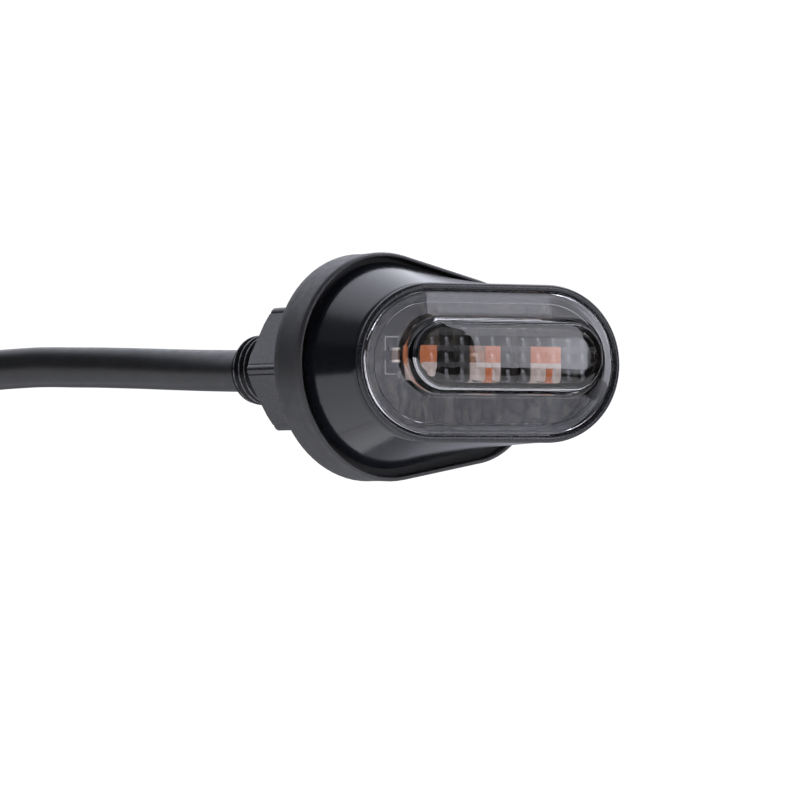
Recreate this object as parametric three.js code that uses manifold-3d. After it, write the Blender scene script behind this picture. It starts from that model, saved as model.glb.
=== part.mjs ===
// A flush-mount LED turn signal indicator for a motorcycle, in millimetres.
// The origin is on the stem's axis, in the plane where the rubber pad meets the panel.
// -Y points outboard, towards the lens, +Y runs along the stem behind the panel, and +Z is up.
// A local w is measured outboard from the plane of the shape that it belongs to.

import * as THREE from "three";
import { mergeVertices } from "three/addons/utils/BufferGeometryUtils.js";
import Module from "manifold-3d";

const wasm = await Module();
wasm.setup();

// ---- Driving dimensions ----

const GAP = 0.3; // clearance between neighbouring pieces
const ARC_STEPS = 14; // steps round each end of a wrapped outline
const TURN_STEPS = 32; // steps round a turned piece
const SMALL_TURN_STEPS = 16;
const THROUGH = 1; // how far a cut runs on past the face that it opens

// Rubber pad: its outline wraps a large circle on the stem's axis and a smaller one beside it.
const PAD = { left: 0, right: 14, rLeft: 15.3, rRight: 12.7 };
const PAD_THICKNESS = 5.7;
const PAD_LIP = 0.6; // width of the lip round the pocket that takes the housing
const PAD_POCKET = 1.5;
const PAD_ROUND = 0.45;
const PAD_BACK_BREAK = 0.35;

// Housing: it grows from the pad's outline, inset, into a straight-sided rim round the lens.
const BASE_INSET = 1.5;
const BASE_WALL = 2.5;
const SIDE_WALL = 1.8;
const EDGE_BREAK = 0.4;

// Lens plane: an upright plane, turned about Z so that the lens also looks to the side.
const LENS_YAW = THREE.MathUtils.degToRad(18);
const LENS_CENTRE = new THREE.Vector3(4.5, -21.1, 0);
const LENS_HALF = 8.25; // half the length of its straight sides
const RIM_RADIUS = 10.5;
const RIM_SEAT_RADIUS = 9.5; // the rim's inner edge, which surrounds the lens
const RIM_CREST = 0.45; // how far the rim's round bead stands out of the lens plane
const RIM_GROOVE = { inset: 0.3, depth: 1.1 }; // the line where the side walls meet the bead
const RIM_FOOT = 0.7; // depth of the bead's straight outer side
const LEDGE_RADIUS = 8.6;
const LEDGE_DEPTH = 2.2;
const SHELF_RADIUS = 7.2; // the shelf that the circuit board lies on
const SHELF_DEPTH = 6.5;

// Lens: a flange, with a raised pill-shaped window off its middle.
const FLANGE_THICKNESS = 1.4;
const FLANGE_TOP = 0.3;
const FLANGE_BREAK = 0.2;
const WINDOW_RADIUS = 4.95;
const WINDOW_HALF = 9.1;
const WINDOW_SHIFT = { u: 2, v: 0.95 };
const WINDOW_HEIGHT = 2.7;
const WINDOW_DRAFT = 0.7; // how far its wall leans in
const WINDOW_ROUND = 0.5;
const LENS_WALL = 1.5;
const SEAL_WIDTH = 0.45;
const SEAL_THICKNESS = 0.5;

// Circuit board and what is soldered to it.
const BOARD_RADIUS = 8.1;
const BOARD_THICKNESS = 1.2;
const BOARD_BACK = -SHELF_DEPTH + GAP;
const BOARD_FRONT = BOARD_BACK + BOARD_THICKNESS;
const LED_PITCH = 8.7;
const LED_SIZE = [4.4, 4.4, 1.6];
const FILTER_CAPACITOR = { size: [1.25, 2, 0.9], u: -11.85, v: 1 };
const INPUT_CAPACITOR = { size: [1.6, 3.2, 1.1], u: 2, v: -3.8 };
const DRIVER_CHIP = { size: [4.9, 3.9, 1.6], u: 8, v: 0 };
const DIODE = { size: [4.3, 2.6, 2.1], u: 1.6, v: 3.8 };
const CURRENT_RESISTORS = [-4.6, 4.6].map((v) => ({ size: [3.2, 1.6, 0.6], u: 8, v }));
const SOLDER_JOINT_U = -5.6; // where the wires meet the back of the board

// Stem: a hollow M10 x 1.25 stud with a head inside the housing.
const THREAD_RADIUS = 4.95;
const STEM_BORE = 3.3;
const STEM_END = 25;
const STEM_CHAMFER = 0.9;
const STEM_HEAD_RADIUS = 6.5;
const STEM_HEAD_THICKNESS = 1.5;
const THREAD_CLEARANCE = 0.2; // a nut's plain bore round the thread's crests

// Fastening behind the panel.
const NUT_FLATS = 17;
const NUT_THICKNESS = 8;
const NUT_FAR_FACE = 14.2;
const NUT_BEVEL = THREE.MathUtils.degToRad(30);
const NUT_BEVEL_INSET = 0.2; // how far inside the flats the bevel's circle is
const WASHER_RADIUS = 9.05;
const WASHER_THICKNESS = 2.2;
const WASHER_SLIT = 1.4;
const WASHER_SLIT_LEAN = THREE.MathUtils.degToRad(20);

// Cable and wires.
const JACKET_RADIUS = 3;
const JACKET_SIDES = 10;
const JACKET_STEPS = 40;
const WIRE_RADIUS = 0.8;
const WIRE_SIDES = 8;
const WIRE_STEPS = 18;
const WIRE_OFFSET = 1.3; // a wire's distance from the cable's middle
const WIRE_SPREAD = 1.6; // how many times that distance the wires stand apart at the board
const WIRE_SWING = 0.6; // how much of its way to the joint a wire has gone when it nears the board
const GROMMET_RADIUS = STEM_BORE - GAP;
const SLEEVE_RADIUS = 3.5;
const SLEEVE_LENGTH = 12;
const SLEEVE_ROUND = 0.5;
const TAIL_LENGTH = 32;
const TAIL_SPREAD = 7; // how far each tail's end stands from the cable's middle line
// How the tails part: at each point, the share of their spread and of their length.
const TAIL_SHAPE = [[0, 0], [0.07, 0.2], [0.5, 0.5], [0.94, 0.8], [1, 1]];
const TERMINAL_RADIUS = 1.95;
const TERMINAL_LENGTH = 16;
const BARREL_LENGTH = 8; // the terminal's crimped part, inside its insulating cap
const SNAP_GROOVE = { from: 1.4, to: 3, slope: 0.4, depth: 0.4 }; // on the pin, below the barrel
const CAP_RADIUS = 2.9;
const CAP_LENGTH = 10;
const CAP_SHOULDER = 1; // how much its end tapers down to the wire

// The jacket's middle line: out of the stem's bore, level, then down under its own weight.
const JACKET_ROUTE = [
  [0, 8, 0],
  [0, 17, 0],
  [0, 26, 0],
  [-0.4, 34, 0.2],
  [-1.7, 42, 0.5],
  [-4.1, 50, 0.85],
  [-7.6, 58, 1.1],
  [-12.6, 66.4, 1.1],
  [-17.3, 72.7, 0.2],
  [-21.7, 78.5, -2.5],
  [-25.4, 83.5, -7.2],
  [-28.3, 87.4, -13.4],
  [-30.1, 89.8, -20.7],
  [-30.7, 90.6, -28.5],
  [-30.7, 90.6, -38],
  [-30.7, 90.6, -47.5],
  [-30.7, 90.6, -57],
  [-30.7, 90.6, -66.5],
  [-30.7, 90.6, -76],
];

// ---- Materials ----

const finish = (color, roughness, metalness = 0) =>
  new THREE.MeshStandardMaterial({ color, roughness, metalness });

const MATERIAL = {
  pad: finish(0x1b1b1d, 0.85),
  housing: finish(0x17181b, 0.35),
  lens: finish(0x4a4c50, 0.08),
  seal: finish(0x2a2a2c, 0.7),
  board: finish(0x1d2320, 0.5),
  led: finish(0xe07a3c, 0.4),
  capacitor: finish(0x7a4a30, 0.5),
  chip: finish(0x202022, 0.5),
  stem: finish(0x1c1c1f, 0.4, 0.8),
  fastener: finish(0x1d1d20, 0.45, 0.8),
  grommet: finish(0x242426, 0.8),
  jacket: finish(0x18181a, 0.6),
  feedWire: finish(0xc8792a, 0.5),
  groundWire: finish(0x161617, 0.5),
  sleeve: finish(0x121213, 0.5),
  brass: finish(0xb08d4a, 0.35, 0.9),
  cap: finish(0x303236, 0.35),
};

// ---- Solids ----

// A closed geometry as a manifold-3d solid.
function solidOf(geometry) {
  const bare = new THREE.BufferGeometry();
  bare.setAttribute("position", geometry.getAttribute("position"));
  bare.setIndex(geometry.index);
  const merged = mergeVertices(bare, 1e-4);
  return new wasm.Manifold(
    new wasm.Mesh({
      numProp: 3,
      vertProperties: merged.attributes.position.array,
      triVerts: new Uint32Array(merged.index.array),
    }),
  );
}

// A manifold-3d solid as a three.js geometry.
function geometryOf(solid) {
  const mesh = solid.getMesh();
  const geometry = new THREE.BufferGeometry();
  geometry.setAttribute("position", new THREE.BufferAttribute(mesh.vertProperties, 3));
  geometry.setIndex(new THREE.BufferAttribute(mesh.triVerts, 1));
  geometry.computeVertexNormals();
  return geometry;
}

// The outline that wraps two circles, moved inwards by inset, anticlockwise.
function wrapPoints(outline, inset) {
  const { left, right, rLeft, rRight } = outline;
  const lean = Math.asin((rLeft - rRight) / (right - left));
  const points = [];
  const addArc = (middle, radius, from, to) => {
    for (let i = 0; i <= ARC_STEPS; i++) {
      const angle = from + ((to - from) * i) / ARC_STEPS;
      points.push([middle + radius * Math.cos(angle), radius * Math.sin(angle)]);
    }
  };
  addArc(right, rRight - inset, lean - Math.PI / 2, Math.PI / 2 - lean);
  addArc(left, rLeft - inset, Math.PI / 2 - lean, (3 * Math.PI) / 2 + lean);
  return points;
}

// A frame whose u and v lie in a plane and whose w is the plane's outboard normal.
function planeFrame(u, origin) {
  const v = new THREE.Vector3(0, 0, 1);
  const w = new THREE.Vector3().crossVectors(u, v);
  return new THREE.Matrix4().makeBasis(u, v, w).setPosition(origin);
}

const PAD_FRAME = planeFrame(new THREE.Vector3(1, 0, 0), new THREE.Vector3());
const LENS_AXIS = new THREE.Vector3(Math.cos(LENS_YAW), -Math.sin(LENS_YAW), 0);
const LENS_FRAME = planeFrame(LENS_AXIS, LENS_CENTRE);

const lensOutline = (radius, half = LENS_HALF) => ({
  left: -half,
  right: half,
  rLeft: radius,
  rRight: radius,
});

// One ring of a skin: an outline, inset, at height w in a frame.
function ring(frame, outline, inset, w, shift = { u: 0, v: 0 }) {
  return wrapPoints(outline, inset).map(([u, v]) =>
    new THREE.Vector3(u + shift.u, v + shift.v, w).applyMatrix4(frame),
  );
}

// Rings that round an edge up to its crest at height w, one for each angle from its side.
function roundedEdge(frame, outline, radius, w, degrees, shift) {
  return degrees.map((degree) => {
    const angle = THREE.MathUtils.degToRad(degree);
    const inset = radius * (1 - Math.cos(angle));
    return ring(frame, outline, inset, w - radius * (1 - Math.sin(angle)), shift);
  });
}

// A closed solid through rings of equal length, listed from the panel side outboard.
function skin(rings) {
  const count = rings[0].length;
  const middle = (points) =>
    points.reduce((sum, p) => sum.add(p), new THREE.Vector3()).divideScalar(count);
  const vertices = [...rings.flat(), middle(rings[0]), middle(rings.at(-1))];
  const lastRing = (rings.length - 1) * count;
  const firstMiddle = rings.length * count;
  const index = [];
  for (let i = 0; i < count; i++) {
    const next = (i + 1) % count;
    for (let base = 0; base < lastRing; base += count) {
      const up = base + count;
      index.push(base + i, base + next, up + next, base + i, up + next, up + i);
    }
    index.push(firstMiddle, next, i);
    index.push(firstMiddle + 1, lastRing + i, lastRing + next);
  }
  const geometry = new THREE.BufferGeometry().setFromPoints(vertices);
  geometry.setIndex(index);
  return solidOf(geometry);
}

// A solid turned about the Y axis. A profile off the axis is closed on itself.
function turned(profile, steps = TURN_STEPS) {
  const points = profile.map(([r, y]) => new THREE.Vector2(r, y));
  if (profile[0][0] > 0) points.push(points[0].clone());
  return solidOf(new THREE.LatheGeometry(points, steps));
}

// A round bar along the Y axis, from one y to another.
function bar(radius, from, to, steps = TURN_STEPS) {
  return turned([[0, from], [radius, from], [radius, to], [0, to]], steps);
}

// A regular polygon as a shape, with a corner on its first axis.
function polygon(radius, sides) {
  const corners = Array.from({ length: sides }, (_, i) => {
    const angle = (2 * Math.PI * i) / sides;
    return new THREE.Vector2(radius * Math.cos(angle), radius * Math.sin(angle));
  });
  return new THREE.Shape(corners);
}

// A round cord through points, as an extrusion along a smooth curve.
function cordAlong(points, radius, sides, steps) {
  const path = new THREE.CatmullRomCurve3(points.map((p) => new THREE.Vector3(...p)));
  return new THREE.ExtrudeGeometry(polygon(radius, sides), { steps, extrudePath: path });
}

// A component in the lens frame, with its lowest face at height w. Its size is along u, v and w.
function block({ size, u, v }, w) {
  const geometry = new THREE.BoxGeometry(...size);
  geometry.translate(u, v, w + size[2] / 2);
  return geometry.applyMatrix4(LENS_FRAME);
}

const onFront = (component) => block(component, BOARD_FRONT + GAP);
const onBack = (component) => block(component, BOARD_BACK - GAP - component.size[2]);

// ---- Pieces ----

const indicator = new THREE.Group();

function addPiece(name, shape, material) {
  const geometry = shape.isBufferGeometry ? shape : geometryOf(shape);
  const mesh = new THREE.Mesh(geometry, material.clone());
  mesh.name = name;
  indicator.add(mesh);
  return mesh;
}

function mountingPad() {
  const front = PAD_THICKNESS;
  const body = skin([
    ring(PAD_FRAME, PAD, PAD_BACK_BREAK, 0),
    ring(PAD_FRAME, PAD, 0, PAD_BACK_BREAK),
    ...roundedEdge(PAD_FRAME, PAD, PAD_ROUND, front, [0, 45, 90]),
    ring(PAD_FRAME, PAD, PAD_LIP, front),
    ring(PAD_FRAME, PAD, PAD_LIP, front - PAD_POCKET),
  ]);
  return body.subtract(bar(THREAD_RADIUS + GAP, -PAD_THICKNESS, THROUGH));
}

const BASE_FACE = PAD_THICKNESS - PAD_POCKET + GAP; // the housing's base, outboard of the panel
const HEAD_FACE = BASE_FACE + BASE_WALL + GAP;

function housing() {
  const rim = lensOutline(RIM_RADIUS);
  const beadRadius = (RIM_RADIUS - RIM_SEAT_RADIUS) / 2;
  const outside = skin([
    ring(PAD_FRAME, PAD, BASE_INSET + EDGE_BREAK, BASE_FACE),
    ring(PAD_FRAME, PAD, BASE_INSET, BASE_FACE + EDGE_BREAK),
    ring(LENS_FRAME, rim, RIM_GROOVE.inset, -RIM_GROOVE.depth),
    ring(LENS_FRAME, rim, 0, -RIM_FOOT),
    ...roundedEdge(LENS_FRAME, rim, beadRadius, RIM_CREST, [0, 45, 90, 135]),
  ]);
  const hollow = skin([
    ring(PAD_FRAME, PAD, BASE_INSET + SIDE_WALL, BASE_FACE + BASE_WALL),
    ring(LENS_FRAME, lensOutline(SHELF_RADIUS), 0, -SHELF_DEPTH),
    ring(LENS_FRAME, lensOutline(LEDGE_RADIUS), 0, -SHELF_DEPTH),
    ring(LENS_FRAME, lensOutline(LEDGE_RADIUS), 0, -LEDGE_DEPTH),
    ring(LENS_FRAME, lensOutline(RIM_SEAT_RADIUS), 0, -LEDGE_DEPTH),
    ring(LENS_FRAME, lensOutline(RIM_SEAT_RADIUS), 0, RIM_CREST + THROUGH),
  ]);
  return outside
    .subtract(hollow)
    .subtract(bar(THREAD_RADIUS + GAP, -HEAD_FACE, 0));
}

function lens() {
  const flange = lensOutline(RIM_SEAT_RADIUS - GAP);
  const under = FLANGE_TOP - FLANGE_THICKNESS;
  const plate = skin([
    ring(LENS_FRAME, flange, 0, under),
    ring(LENS_FRAME, flange, 0, FLANGE_TOP - FLANGE_BREAK),
    ring(LENS_FRAME, flange, FLANGE_BREAK, FLANGE_TOP),
  ]);
  const pill = lensOutline(WINDOW_RADIUS, WINDOW_HALF);
  const top = FLANGE_TOP + WINDOW_HEIGHT;
  const root = under / 2; // inside the plate, so that the two solids join
  const crown = lensOutline(WINDOW_RADIUS - WINDOW_DRAFT, WINDOW_HALF);
  const raised = skin([
    ring(LENS_FRAME, pill, 0, root, WINDOW_SHIFT),
    ...roundedEdge(LENS_FRAME, crown, WINDOW_ROUND, top, [0, 30, 60, 90], WINDOW_SHIFT),
  ]);
  const pocket = skin([
    ring(LENS_FRAME, pill, LENS_WALL, under - THROUGH, WINDOW_SHIFT),
    ring(LENS_FRAME, pill, LENS_WALL, top - LENS_WALL, WINDOW_SHIFT),
  ]);
  return plate.add(raised).subtract(pocket);
}

function lensSeal() {
  const outer = RIM_SEAT_RADIUS - GAP;
  const bottom = -LEDGE_DEPTH + GAP;
  const top = bottom + SEAL_THICKNESS;
  const blank = skin([
    ring(LENS_FRAME, lensOutline(outer), 0, bottom),
    ring(LENS_FRAME, lensOutline(outer), 0, top),
  ]);
  const opening = skin([
    ring(LENS_FRAME, lensOutline(outer - SEAL_WIDTH), 0, bottom - THROUGH),
    ring(LENS_FRAME, lensOutline(outer - SEAL_WIDTH), 0, top + THROUGH),
  ]);
  return blank.subtract(opening);
}

function circuitBoard() {
  return skin([
    ring(LENS_FRAME, lensOutline(BOARD_RADIUS), 0, BOARD_BACK),
    ring(LENS_FRAME, lensOutline(BOARD_RADIUS), 0, BOARD_FRONT),
  ]);
}

function threadedStem() {
  return turned([
    [STEM_BORE, -HEAD_FACE - STEM_HEAD_THICKNESS],
    [STEM_HEAD_RADIUS, -HEAD_FACE - STEM_HEAD_THICKNESS],
    [STEM_HEAD_RADIUS, -HEAD_FACE],
    [THREAD_RADIUS, -HEAD_FACE],
    [THREAD_RADIUS, STEM_END - STEM_CHAMFER],
    [THREAD_RADIUS - STEM_CHAMFER, STEM_END],
    [STEM_BORE, STEM_END],
  ]);
}

// A hexagon nut along the Y axis, with its corners bevelled at both faces.
function hexNut() {
  const corner = NUT_FLATS / Math.sqrt(3);
  const near = NUT_FAR_FACE - NUT_THICKNESS;
  const prism = new THREE.ExtrudeGeometry(polygon(corner, 6), {
    depth: NUT_THICKNESS,
    bevelEnabled: false,
  });
  prism.rotateX(Math.PI / 2);
  prism.translate(0, NUT_FAR_FACE, 0);
  const face = NUT_FLATS / 2 - NUT_BEVEL_INSET;
  const outside = corner + GAP;
  const drop = (outside - face) * Math.tan(NUT_BEVEL);
  const rounding = turned([
    [0, near],
    [face, near],
    [outside, near + drop],
    [outside, NUT_FAR_FACE - drop],
    [face, NUT_FAR_FACE],
    [0, NUT_FAR_FACE],
  ]);
  const bore = bar(THREAD_RADIUS + THREAD_CLEARANCE, near - THROUGH, NUT_FAR_FACE + THROUGH);
  return solidOf(prism).intersect(rounding).subtract(bore);
}

function lockWasher() {
  const far = NUT_FAR_FACE - NUT_THICKNESS - GAP;
  const near = far - WASHER_THICKNESS;
  const bore = THREAD_RADIUS + GAP;
  const round = turned([[bore, near], [WASHER_RADIUS, near], [WASHER_RADIUS, far], [bore, far]]);
  const slit = new THREE.BoxGeometry(WASHER_SLIT, 2 * WASHER_RADIUS, WASHER_RADIUS);
  slit.rotateZ(WASHER_SLIT_LEAN);
  slit.translate(0, (near + far) / 2, (bore + WASHER_RADIUS) / 2);
  return round.subtract(solidOf(slit));
}

const GROMMET_FROM = -HEAD_FACE - STEM_HEAD_THICKNESS;
const GROMMET_TO = -1; // its end, inside the pad

function wireGrommet() {
  const plug = bar(GROMMET_RADIUS, GROMMET_FROM, GROMMET_TO, SMALL_TURN_STEPS);
  const hole = bar(
    WIRE_RADIUS + GAP,
    GROMMET_FROM - THROUGH,
    GROMMET_TO + THROUGH,
    SMALL_TURN_STEPS,
  );
  return plug
    .subtract(hole.translate([0, 0, WIRE_OFFSET]))
    .subtract(hole.translate([0, 0, -WIRE_OFFSET]));
}

// A wire from the end of the jacket, through the grommet, to the back of the board.
function innerWire(side) {
  const z = side * WIRE_OFFSET;
  const start = JACKET_ROUTE[0][1] - GAP;
  const joint = new THREE.Vector3(SOLDER_JOINT_U, 0, BOARD_BACK - WIRE_RADIUS);
  joint.applyMatrix4(LENS_FRAME);
  return cordAlong(
    [
      [0, start, z],
      [0, start / 2, z],
      [0, 0, z],
      [0, (GROMMET_FROM + GROMMET_TO) / 2, z],
      [0, GROMMET_FROM, z],
      [joint.x * WIRE_SWING, (GROMMET_FROM + joint.y) / 2, (z * (1 + WIRE_SPREAD)) / 2],
      [joint.x, joint.y, z * WIRE_SPREAD],
    ],
    WIRE_RADIUS,
    WIRE_SIDES,
    WIRE_STEPS,
  );
}

const JACKET_END = JACKET_ROUTE.at(-1);
const SLEEVE_TOP = JACKET_END[2] - GAP;
const TAIL_TOP = SLEEVE_TOP - SLEEVE_LENGTH - GAP;
const TAIL_END = TAIL_TOP - TAIL_LENGTH;

// A piece made along the Y axis, stood upright under the jacket's end, with its y = 0 at a height.
function hang(solid, sideways, z) {
  return solid.rotate([90, 0, 0]).translate([JACKET_END[0] + sideways, JACKET_END[1], z]);
}

function jacketEndSleeve() {
  const body = turned(
    [
      [0, -SLEEVE_LENGTH],
      [SLEEVE_RADIUS - SLEEVE_ROUND, -SLEEVE_LENGTH],
      [SLEEVE_RADIUS, SLEEVE_ROUND - SLEEVE_LENGTH],
      [SLEEVE_RADIUS, -SLEEVE_ROUND],
      [SLEEVE_RADIUS - SLEEVE_ROUND, 0],
      [0, 0],
    ],
    SMALL_TURN_STEPS,
  );
  return hang(body, 0, SLEEVE_TOP);
}

function wireTail(side) {
  const [x, y] = JACKET_END;
  const near = side * WIRE_OFFSET;
  const far = side * TAIL_SPREAD;
  const points = TAIL_SHAPE.map(([spread, drop]) => [
    x + near + (far - near) * spread,
    y,
    TAIL_TOP - TAIL_LENGTH * drop,
  ]);
  return cordAlong(points, WIRE_RADIUS, WIRE_SIDES, WIRE_STEPS);
}

// A bullet terminal: a barrel crimped on the wire, a collar and a round-nosed pin.
function bulletTerminal(side) {
  const nose = TERMINAL_RADIUS / 2;
  const grooveRadius = TERMINAL_RADIUS - SNAP_GROOVE.depth;
  const grooveTop = -BARREL_LENGTH - SNAP_GROOVE.from;
  const grooveBottom = -BARREL_LENGTH - SNAP_GROOVE.to;
  const body = turned(
    [
      [0, -TERMINAL_LENGTH],
      [nose, -TERMINAL_LENGTH],
      [TERMINAL_RADIUS, nose - TERMINAL_LENGTH],
      [TERMINAL_RADIUS, grooveBottom],
      [grooveRadius, grooveBottom + SNAP_GROOVE.slope],
      [grooveRadius, grooveTop - SNAP_GROOVE.slope],
      [TERMINAL_RADIUS, grooveTop],
      [TERMINAL_RADIUS, 0],
      [0, 0],
    ],
    SMALL_TURN_STEPS,
  );
  return hang(body, side * TAIL_SPREAD, TAIL_END - GAP);
}

// An insulating cap: it goes over the barrel and the last of the wire.
function terminalCap(side) {
  const bore = TERMINAL_RADIUS + GAP;
  const overWire = CAP_LENGTH - BARREL_LENGTH;
  const wireBore = WIRE_RADIUS + GAP;
  const body = turned(
    [
      [bore, -BARREL_LENGTH],
      [CAP_RADIUS, -BARREL_LENGTH],
      [CAP_RADIUS, 0],
      [CAP_RADIUS - CAP_SHOULDER, overWire],
      [wireBore, overWire],
      [wireBore, GAP],
      [bore, GAP],
    ],
    SMALL_TURN_STEPS,
  );
  return hang(body, side * TAIL_SPREAD, TAIL_END - GAP);
}

function cableJacket() {
  return cordAlong(JACKET_ROUTE, JACKET_RADIUS, JACKET_SIDES, JACKET_STEPS);
}

addPiece("mounting_pad", mountingPad(), MATERIAL.pad);
addPiece("housing", housing(), MATERIAL.housing);
addPiece("lens", lens(), MATERIAL.lens);
addPiece("lens_seal", lensSeal(), MATERIAL.seal);
addPiece("circuit_board", circuitBoard(), MATERIAL.board);
addPiece("threaded_stem", threadedStem(), MATERIAL.stem);
addPiece("wire_grommet", wireGrommet(), MATERIAL.grommet);
addPiece("lock_washer", lockWasher(), MATERIAL.fastener);
addPiece("hex_nut", hexNut(), MATERIAL.fastener);

[-1, 0, 1].forEach((place, i) => {
  addPiece(`led_${i + 1}`, onFront({ size: LED_SIZE, u: place * LED_PITCH, v: 0 }), MATERIAL.led);
});
addPiece("filter_capacitor", onFront(FILTER_CAPACITOR), MATERIAL.capacitor);
addPiece("input_capacitor", onBack(INPUT_CAPACITOR), MATERIAL.capacitor);
addPiece("driver_chip", onBack(DRIVER_CHIP), MATERIAL.chip);
addPiece("protection_diode", onBack(DIODE), MATERIAL.chip);
CURRENT_RESISTORS.forEach((resistor, i) => {
  addPiece(`current_resistor_${i + 1}`, onBack(resistor), MATERIAL.chip);
});

addPiece("feed_wire", innerWire(1), MATERIAL.feedWire);
addPiece("ground_wire", innerWire(-1), MATERIAL.groundWire);
addPiece("cable_jacket", cableJacket(), MATERIAL.jacket);
addPiece("jacket_end_sleeve", jacketEndSleeve(), MATERIAL.sleeve);
[["feed", 1, MATERIAL.feedWire], ["ground", -1, MATERIAL.groundWire]].forEach(([use, side, wire]) => {
  addPiece(`${use}_tail`, wireTail(side), wire);
  addPiece(`${use}_terminal`, bulletTerminal(side), MATERIAL.brass);
  addPiece(`${use}_terminal_cap`, terminalCap(side), MATERIAL.cap);
});

export default indicator;
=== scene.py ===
"""The finished pieces of a flush-mount LED turn signal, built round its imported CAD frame.

The origin is on the stem's axis, where the rubber pad meets the panel. -Y points outboard, towards
the lens, +Y runs along the stem behind the panel, and +Z is up. Shapes are worked out in
millimetres and become metres when their mesh is made. In a plane of its own, a shape has u and v
in the plane and w outboard.
"""

import math

import bmesh
import bpy
from mathutils import Matrix, Vector


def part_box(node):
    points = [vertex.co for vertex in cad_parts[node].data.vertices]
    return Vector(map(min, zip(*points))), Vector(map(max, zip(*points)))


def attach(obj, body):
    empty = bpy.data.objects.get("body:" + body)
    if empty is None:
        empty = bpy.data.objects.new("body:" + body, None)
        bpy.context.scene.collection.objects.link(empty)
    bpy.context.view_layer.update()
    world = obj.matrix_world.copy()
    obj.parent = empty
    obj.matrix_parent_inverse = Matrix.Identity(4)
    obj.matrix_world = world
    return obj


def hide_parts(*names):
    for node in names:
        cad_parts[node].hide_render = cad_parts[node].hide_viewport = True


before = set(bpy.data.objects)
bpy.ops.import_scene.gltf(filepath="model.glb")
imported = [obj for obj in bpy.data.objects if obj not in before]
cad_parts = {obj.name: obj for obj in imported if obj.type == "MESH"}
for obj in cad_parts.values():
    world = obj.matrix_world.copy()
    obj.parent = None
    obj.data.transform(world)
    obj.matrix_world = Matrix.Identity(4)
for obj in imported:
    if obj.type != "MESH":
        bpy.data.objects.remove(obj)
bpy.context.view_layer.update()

MM = 0.001
X, Y, Z = 0, 1, 2


def span(node, axis):
    """A CAD node's lowest and highest place along an axis, in millimetres."""
    low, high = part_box(node)
    return low[axis] / MM, high[axis] / MM


# ---- Sizes, in millimetres ----

GAP = 0.3
ARC_STEPS = 44
STRAIGHT_STEPS = 14
TURN_STEPS = 72
SMOOTH_ANGLE = math.radians(36)

PAD = (0, 14, 15.3, 12.7)  # the middles and radii of the two circles that its outline wraps
PAD_SAG = (-0.2, -0.32 / 14)  # how the soft pad hangs: its drop, and its drop for each mm along
PAD_FRONT = -span("mounting_pad", Y)[0]
PAD_SWELL = 0.15  # how far its outline stands outside the wrap of the circles
PAD_BACK_ROUND = 0.35
PAD_FRONT_ROUND = (0.5, 0.6)  # across and deep
GROOVE_DEPTH = 0.35  # of the groove round the pad's back
PAD_LIP = 0.6
PAD_LIP_ROUND = 0.14
PAD_POCKET = 1.5
STEM_HOLE = 5.25

BASE_INSET = 1.35
BASE_ROUND = 0.4
BASE_WALL = 2.5
SIDE_WALL = 1.8

LENS_YAW = math.radians(18)
LENS_CENTRE = (4.5, -21.1, 0)
LENS_HALF = 8.25
RIM_RADIUS = 10.5
SEAT_RADIUS = 9.5
RIM_CREST = 0.45
LEDGE_RADIUS = 8.6
LEDGE_DEPTH = 2.2
SHELF_RADIUS = 7.2
SHELF_DEPTH = 6.5

FLANGE_RADIUS = SEAT_RADIUS - 0.15
FLANGE_UNDER = -1.1
FLANGE_EDGE = 0.03
FLANGE_SHIFT = (0.15, 0)
FLANGE_SLOPE = 0.052  # how it rises from its edge to the foot of the window
FLANGE_BREAK = 0.12
WINDOW_RADIUS = 5.0
WINDOW_HALF = 9.1
WINDOW_SHIFT = (2.0, 0.95)
WINDOW_TOP = 3.0
WINDOW_FOOT = 0.42  # the radius of the hollow where the window meets the flange
# The window's side, from its foot to its flat top: how far in, and the share of its height.
WINDOW_SIDE = [
    (0, 0.16), (0.3, 0.42), (0.6, 0.68), (0.84, 0.84),
    (0.98, 0.88), (1.25, 0.915), (1.7, 0.95), (2.5, 0.982),
]
WINDOW_CROWN = 0.6  # how far its middle stands above its ends
LENS_WALL = 1.5

BOARD_RADIUS = 8.1
BOARD_BACK = -6.2
BOARD_FRONT = -5.0
LED_PITCH = 8.7
LED_SIDE = 4.4
LED_HEIGHT = 1.6
RESIN_DEPTH = 0.2
CELL = LED_PITCH / 4  # the pitch of the lens's facets, which are square

THREAD_RADIUS = 4.95
THREAD_ROOT = 4.25
THREAD_PITCH = 1.25
STEM_BORE = 3.3
NUT_FLATS = 17
NUT_CORNER_ROUND = 0.75
NUT_TURN = math.radians(2)
NUT_MOUTH = 0.35  # how much wider than the thread its bore is at each face
NUT_FACE = NUT_FLATS / 2 + 0.35  # the radius of each face's flat part, inside the bevel

JACKET_RADIUS = 3
WIRE_RADIUS = 0.8
WIRE_OFFSET = 1.3
TAIL_SPREAD = 7

# The jacket's middle line: out of the stem's bore, level, then down under its own weight.
JACKET_ROUTE = [
    (0, 8, 0),
    (0, 17, 0),
    (0, 26, 0),
    (-0.4, 34, 0.2),
    (-1.7, 42, 0.5),
    (-4.1, 50, 0.85),
    (-7.6, 58, 1.1),
    (-12.6, 66.4, 1.1),
    (-17.3, 72.7, 0.2),
    (-21.7, 78.5, -2.5),
    (-25.4, 83.5, -7.2),
    (-28.3, 87.4, -13.4),
    (-30.1, 89.8, -20.7),
    *[(-30.7, 90.6, -28.5 - 9.5 * i) for i in range(6)],
]


def new_object(name, data):
    """An object in the scene."""
    made = bpy.data.objects.new(name, data)
    bpy.context.scene.collection.objects.link(made)
    return made


# ---- Camera, light and floor ----

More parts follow.
